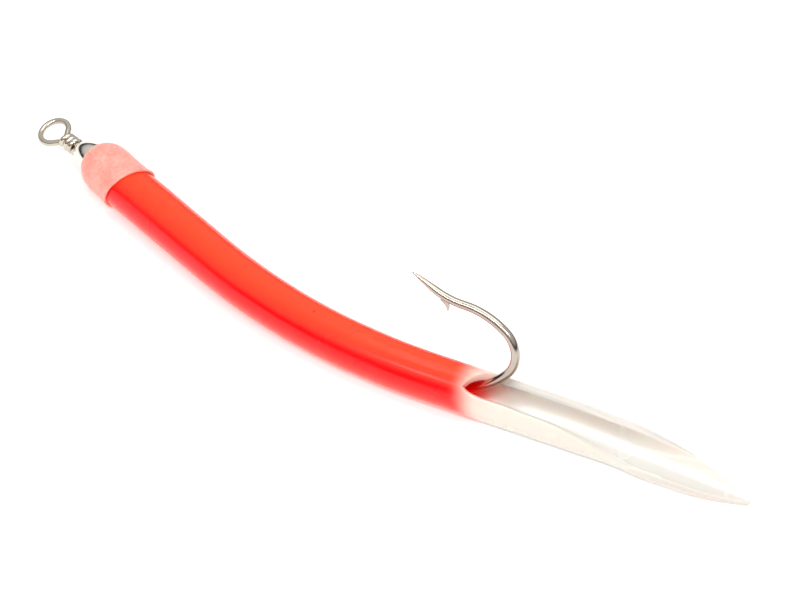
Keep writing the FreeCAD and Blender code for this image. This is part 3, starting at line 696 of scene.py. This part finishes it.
def finishTube():
    p = tubeFinish
    material, tree, shader = newMaterial("softPvc")
    along = tree.nodes.new("ShaderNodeAttribute")
    along.attribute_name = "alongCut"
    around = tree.nodes.new("ShaderNodeAttribute")
    around.attribute_name = "aroundTube"
    # red round the tube, with painted light on the top and lower side and painted shade in the core
    red = addRamp(tree, around.outputs["Fac"], p["paintedRedLightAndShade"])
    grain = placeGroup(tree, groups["grain"], Fine_Scale=1300.0, Broad_Scale=90.0, Broad_Share=0.6)
    drift = addMath(tree, "MULTIPLY_ADD", grain.outputs["Patches"], p["fadeDrift"], -p["fadeDrift"] / 2)
    leaning = addMath(tree, "MULTIPLY_ADD", around.outputs["Fac"], p["fadeLean"], along.outputs["Fac"])
    edge = addMath(tree, "ADD", leaning, drift)
    fade = tree.nodes.new("ShaderNodeMapRange")
    fade.interpolation_type = "SMOOTHERSTEP"
    fade.inputs["From Min"].default_value = p["fadeFrom"]
    fade.inputs["From Max"].default_value = p["fadeTo"]
    tree.links.new(edge, fade.inputs["Value"])
    # painted highlight: lighter colour towards the outline on the lower half of the tube
    facing = tree.nodes.new("ShaderNodeLayerWeight")
    facing.inputs["Blend"].default_value = 0.5
    outline = addMath(tree, "POWER", facing.outputs["Facing"], 3.0)
    lower = addMath(tree, "SUBTRACT", around.outputs["Fac"], 0.5, clamp=True)
    outline = addMath(tree, "MULTIPLY", outline, addMath(tree, "MULTIPLY", lower, 4.0, clamp=True))
    red = mixColours(tree, outline, red, p["paintedLowerEdgeLight"])
    inside = tree.nodes.new("ShaderNodeAttribute")
    inside.attribute_name = "insideTubeShade"
    glint = tree.nodes.new("ShaderNodeAttribute")
    glint.attribute_name = "paintedTroughGlint"
    glow = addMath(tree, "MULTIPLY", along.outputs["Fac"], -p["redGlowFall"])
    glow = addMath(tree, "ADD", glow, p["redGlowStart"], clamp=True)  # painted glow: the red's light carried on into the first white
    # painted shade on the trough's inside and the cut rims
    white = mixColours(tree, inside.outputs["Fac"], p["milky"], p["inside"])
    # painted highlight along the trough
    white = mixColours(tree, glint.outputs["Fac"], white, p["glint"])
    # painted glow: pink over the white near the cut
    white = mixColours(tree, glow, white, p["paintedRedGlow"])
    colour = mixColours(tree, fade.outputs["Result"], red, white)
    for s, turn in p["pinholes"]:  # small bubbles that broke through the skin
        place, _, side = routePoint(s)
        outwards = Vector((0, 0, cos(radians(turn)))) - side * sin(radians(turn))
        hole = placeGroup(tree, groups["pinhole"], Radius=p["pinholeRadius"])
        hole.inputs["Centre"].default_value = mm * (place + softTube["outer"] * outwards)
        colour = mixColours(tree, hole.outputs["Mask"], colour, p["pinholeColour"])
    # painted glow: the lower half of the tube glows, red on the red part and faint on the white
    lowerGlow = mixColours(tree, fade.outputs["Result"], p["redLowerGlow"], p["whiteLowerGlow"])
    lowerGlow = mixColours(tree, addMath(tree, "MULTIPLY", lower, 2.0), (0.0, 0.0, 0.0), lowerGlow)
    tree.links.new(lowerGlow, shader.inputs["Emission Color"])
    shader.inputs["Emission Strength"].default_value = p["lowerGlowStrength"]
    tree.links.new(colour, shader.inputs["Base Color"])
    rough = addMath(tree, "MULTIPLY_ADD", grain.outputs["Patches"], 0.12, p["roughness"] - 0.06)
    tree.links.new(rough, shader.inputs["Roughness"])
    addBump(tree, shader, grain.outputs["Height"], 0.05, 0.00005)
    shader.inputs["Subsurface Weight"].default_value = 0.55
    shader.inputs["Subsurface Radius"].default_value = (1.0, 0.35, 0.2)
    shader.inputs["Subsurface Scale"].default_value = 0.003
    shader.inputs["Coat Weight"].default_value = 0.06
    shader.inputs["Coat Roughness"].default_value = 0.08
    shader.inputs["Specular IOR Level"].default_value = 0.3
    return material


# collar's finish
# deep: colour of the painted shade in the dimples
collarFinish = {"colour": srgb(255, 168, 152), "dimpleShade": srgb(252, 140, 126), "roughness": 0.5}


def finishCollar():
    p = collarFinish
    material, tree, shader = newMaterial("latex")
    grain = placeGroup(tree, groups["grain"], Fine_Scale=1500.0, Broad_Scale=320.0, Broad_Share=0.9)
    # painted shade: darker colour where the grain's height dips, in the dimples
    dimpleShadeShare = addMath(tree, "MULTIPLY_ADD", grain.outputs["Height"], 2.4, -1.75, clamp=True)
    colour = mixColours(tree, dimpleShadeShare, p["dimpleShade"], p["colour"])
    tree.links.new(colour, shader.inputs["Base Color"])
    rough = addMath(tree, "MULTIPLY_ADD", grain.outputs["Patches"], 0.2, p["roughness"] - 0.1)
    tree.links.new(rough, shader.inputs["Roughness"])
    addBump(tree, shader, grain.outputs["Height"], 0.8, 0.0002)
    shader.inputs["Subsurface Weight"].default_value = 0.4
    shader.inputs["Subsurface Radius"].default_value = (1.0, 0.4, 0.3)
    shader.inputs["Subsurface Scale"].default_value = 0.0015
    shader.inputs["Sheen Weight"].default_value = 0.15
    return material


# metal's finish
def finishMetal(name, colour, dull, roughness, bump, reflectedRed=None):
    material, tree, shader = newMaterial(name)
    grain = placeGroup(tree, groups["grain"], Fine_Scale=1800.0, Broad_Scale=260.0, Broad_Share=0.8)
    metal = mixColours(tree, grain.outputs["Patches"], dull, colour)
    # painted reflection of the tube's red on the wire near the slit
    if reflectedRed:
        near = tree.nodes.new("ShaderNodeAttribute")
        near.attribute_name = "redReflectionNearSlit"
        metal = mixColours(tree, near.outputs["Fac"], metal, reflectedRed)
    tree.links.new(metal, shader.inputs["Base Color"])
    rough = addMath(tree, "MULTIPLY_ADD", grain.outputs["Patches"], 0.16, roughness - 0.08)
    tree.links.new(rough, shader.inputs["Roughness"])
    addBump(tree, shader, grain.outputs["Height"], bump, 0.00003)
    shader.inputs["Metallic"].default_value = 1.0
    return material


groups = {"grain": makeGrain(), "pinhole": makePinhole()}
print("stage: node groups made")

tube = makeTube()
tube.data.materials.append(finishTube())
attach(tube, "lure_body")
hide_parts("tube")
print("stage: tube", len(tube.data.vertices))

collar = makeCollar()
collar.data.materials.append(finishCollar())
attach(collar, "lure_body")
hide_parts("collar")
print("stage: collar", len(collar.data.vertices))

wireMetal = finishMetal("nickelWire", srgb(216, 207, 192), srgb(180, 168, 152), 0.14, 0.1)
barrelMetal = finishMetal("nickelBarrel", srgb(242, 236, 226), srgb(214, 206, 194), 0.14, 0.1)
# the last colour is the painted reflection of the tube's red on the hook
hookMetal = finishMetal("tinnedHook", srgb(196, 184, 172), srgb(160, 148, 136), 0.17, 0.12, srgb(255, 90, 88))
eye = makeLineEye()
eye.data.materials.append(wireMetal)
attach(eye, "line_end")
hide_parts("front_eye")
print("stage: line eye", len(eye.data.vertices))

hook = makeHook()
# mask of the painted red reflection: below a height and near the cut
writeAttribute(hook, "redReflectionNearSlit", lambda v: easeInOut(hookWire["redReflectionBelow"] - v.z) * (
    1 - easeInOut((nearestOnRoute(v)[0] - cutAt - hookWire["redReflectionFrom"]) / hookWire["redReflectionFade"])))
hook.data.materials.append(hookMetal)
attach(hook, "hook")
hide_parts("hook")
print("stage: hook", len(hook.data.vertices))

for node, metal in (("swivel_barrel", barrelMetal), ("rear_eye", wireMetal)):
    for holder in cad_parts[node].material_slots:
        holder.material = metal
print("stage: metal on the barrel and the rear eye")

# studio
studio = {
    "floor": 30.0,
    "floorColour": (0.8, 0.8, 0.8),
    "floorGlow": 0.3,
    "lookAt": (0.0855, 0.0234, -0.0001),
    "distance": 5.5,
    "width": 0.160,
    "elevation": 38.0,
    "heading": 53.56,
    "overheadAt": (0.05, 0.12, 0.75),
    "overheadSize": (0.7, 0.5),
    "overheadPower": 2.3,
    "stripDistance": 0.7,
    "stripFrom": (0.36, -0.5, 0.78),
    "stripSize": (0.9, 0.06),
    "stripPower": 3.2,
    # how high a direction points (0 is level or below, 1 is straight up), then the grey seen there
    "sky": [(0.0, 0.4), (0.04, 0.03), (0.17, 0.03), (0.28, 0.7), (0.5, 0.95)],
    "skyStrength": 0.8,
}


def addArea(name, place, target, size, power):
    light = bpy.data.lights.new(name, "AREA")
    light.shape = "RECTANGLE"
    light.size, light.size_y = size
    light.energy = power
    lamp = bpy.data.objects.new(name, light)
    bpy.context.scene.collection.objects.link(lamp)
    lamp.location = place
    lamp.rotation_euler = (Vector(target) - Vector(place)).to_track_quat("-Z", "Y").to_euler()


half = studio["floor"] / 2
floorMesh = bpy.data.meshes.new("floor")
floorMesh.from_pydata(
    [(x * half, y * half, floorHeight) for x, y in ((-1, -1), (1, -1), (1, 1), (-1, 1))], [], [(0, 1, 2, 3)])
floor = bpy.data.objects.new("floor", floorMesh)
bpy.context.scene.collection.objects.link(floor)
floorMaterial, _, floorShader = newMaterial("palePaper")
floorShader.inputs["Base Color"].default_value = (*studio["floorColour"], 1)
floorShader.inputs["Roughness"].default_value = 0.9
floorShader.inputs["Specular IOR Level"].default_value = 0.1
floorShader.inputs["Emission Color"].default_value = (1, 1, 1, 1)
floorShader.inputs["Emission Strength"].default_value = studio["floorGlow"]
floorMesh.materials.append(floorMaterial)

world = bpy.data.worlds.new("studioLight")
world.use_nodes = True
worldTree = world.node_tree
background = worldTree.nodes["Background"]
coords = worldTree.nodes.new("ShaderNodeTexCoord")
split = worldTree.nodes.new("ShaderNodeSeparateXYZ")
worldTree.links.new(coords.outputs["Generated"], split.inputs[0])
sky = addRamp(worldTree, split.outputs["Z"], [(height, (grey,) * 3) for height, grey in studio["sky"]])
worldTree.links.new(sky, background.inputs["Color"])
background.inputs["Strength"].default_value = studio["skyStrength"]
bpy.context.scene.world = world

heading, elevation = radians(studio["heading"]), radians(studio["elevation"])
towardsCamera = Vector((sin(heading) * cos(elevation), -cos(heading) * cos(elevation), sin(elevation)))
lookAt = Vector(studio["lookAt"])
stripPlace = lookAt + studio["stripDistance"] * Vector(studio["stripFrom"]).normalized()
addArea("overhead", studio["overheadAt"], lookAt, studio["overheadSize"], studio["overheadPower"])
addArea("frontStrip", stripPlace, lookAt, studio["stripSize"], studio["stripPower"])

camera = bpy.data.cameras.new("camera")
camera.sensor_width = 36
camera.lens = camera.sensor_width * studio["distance"] / studio["width"]
camera.clip_start, camera.clip_end = 0.01, 100
cameraObject = bpy.data.objects.new("camera", camera)
bpy.context.scene.collection.objects.link(cameraObject)
cameraObject.location = lookAt + towardsCamera * studio["distance"]
cameraObject.rotation_euler = (-towardsCamera).to_track_quat("-Z", "Y").to_euler()
bpy.context.scene.camera = cameraObject
bpy.context.scene.view_settings.view_transform = "Standard"
print("stage: studio ready")
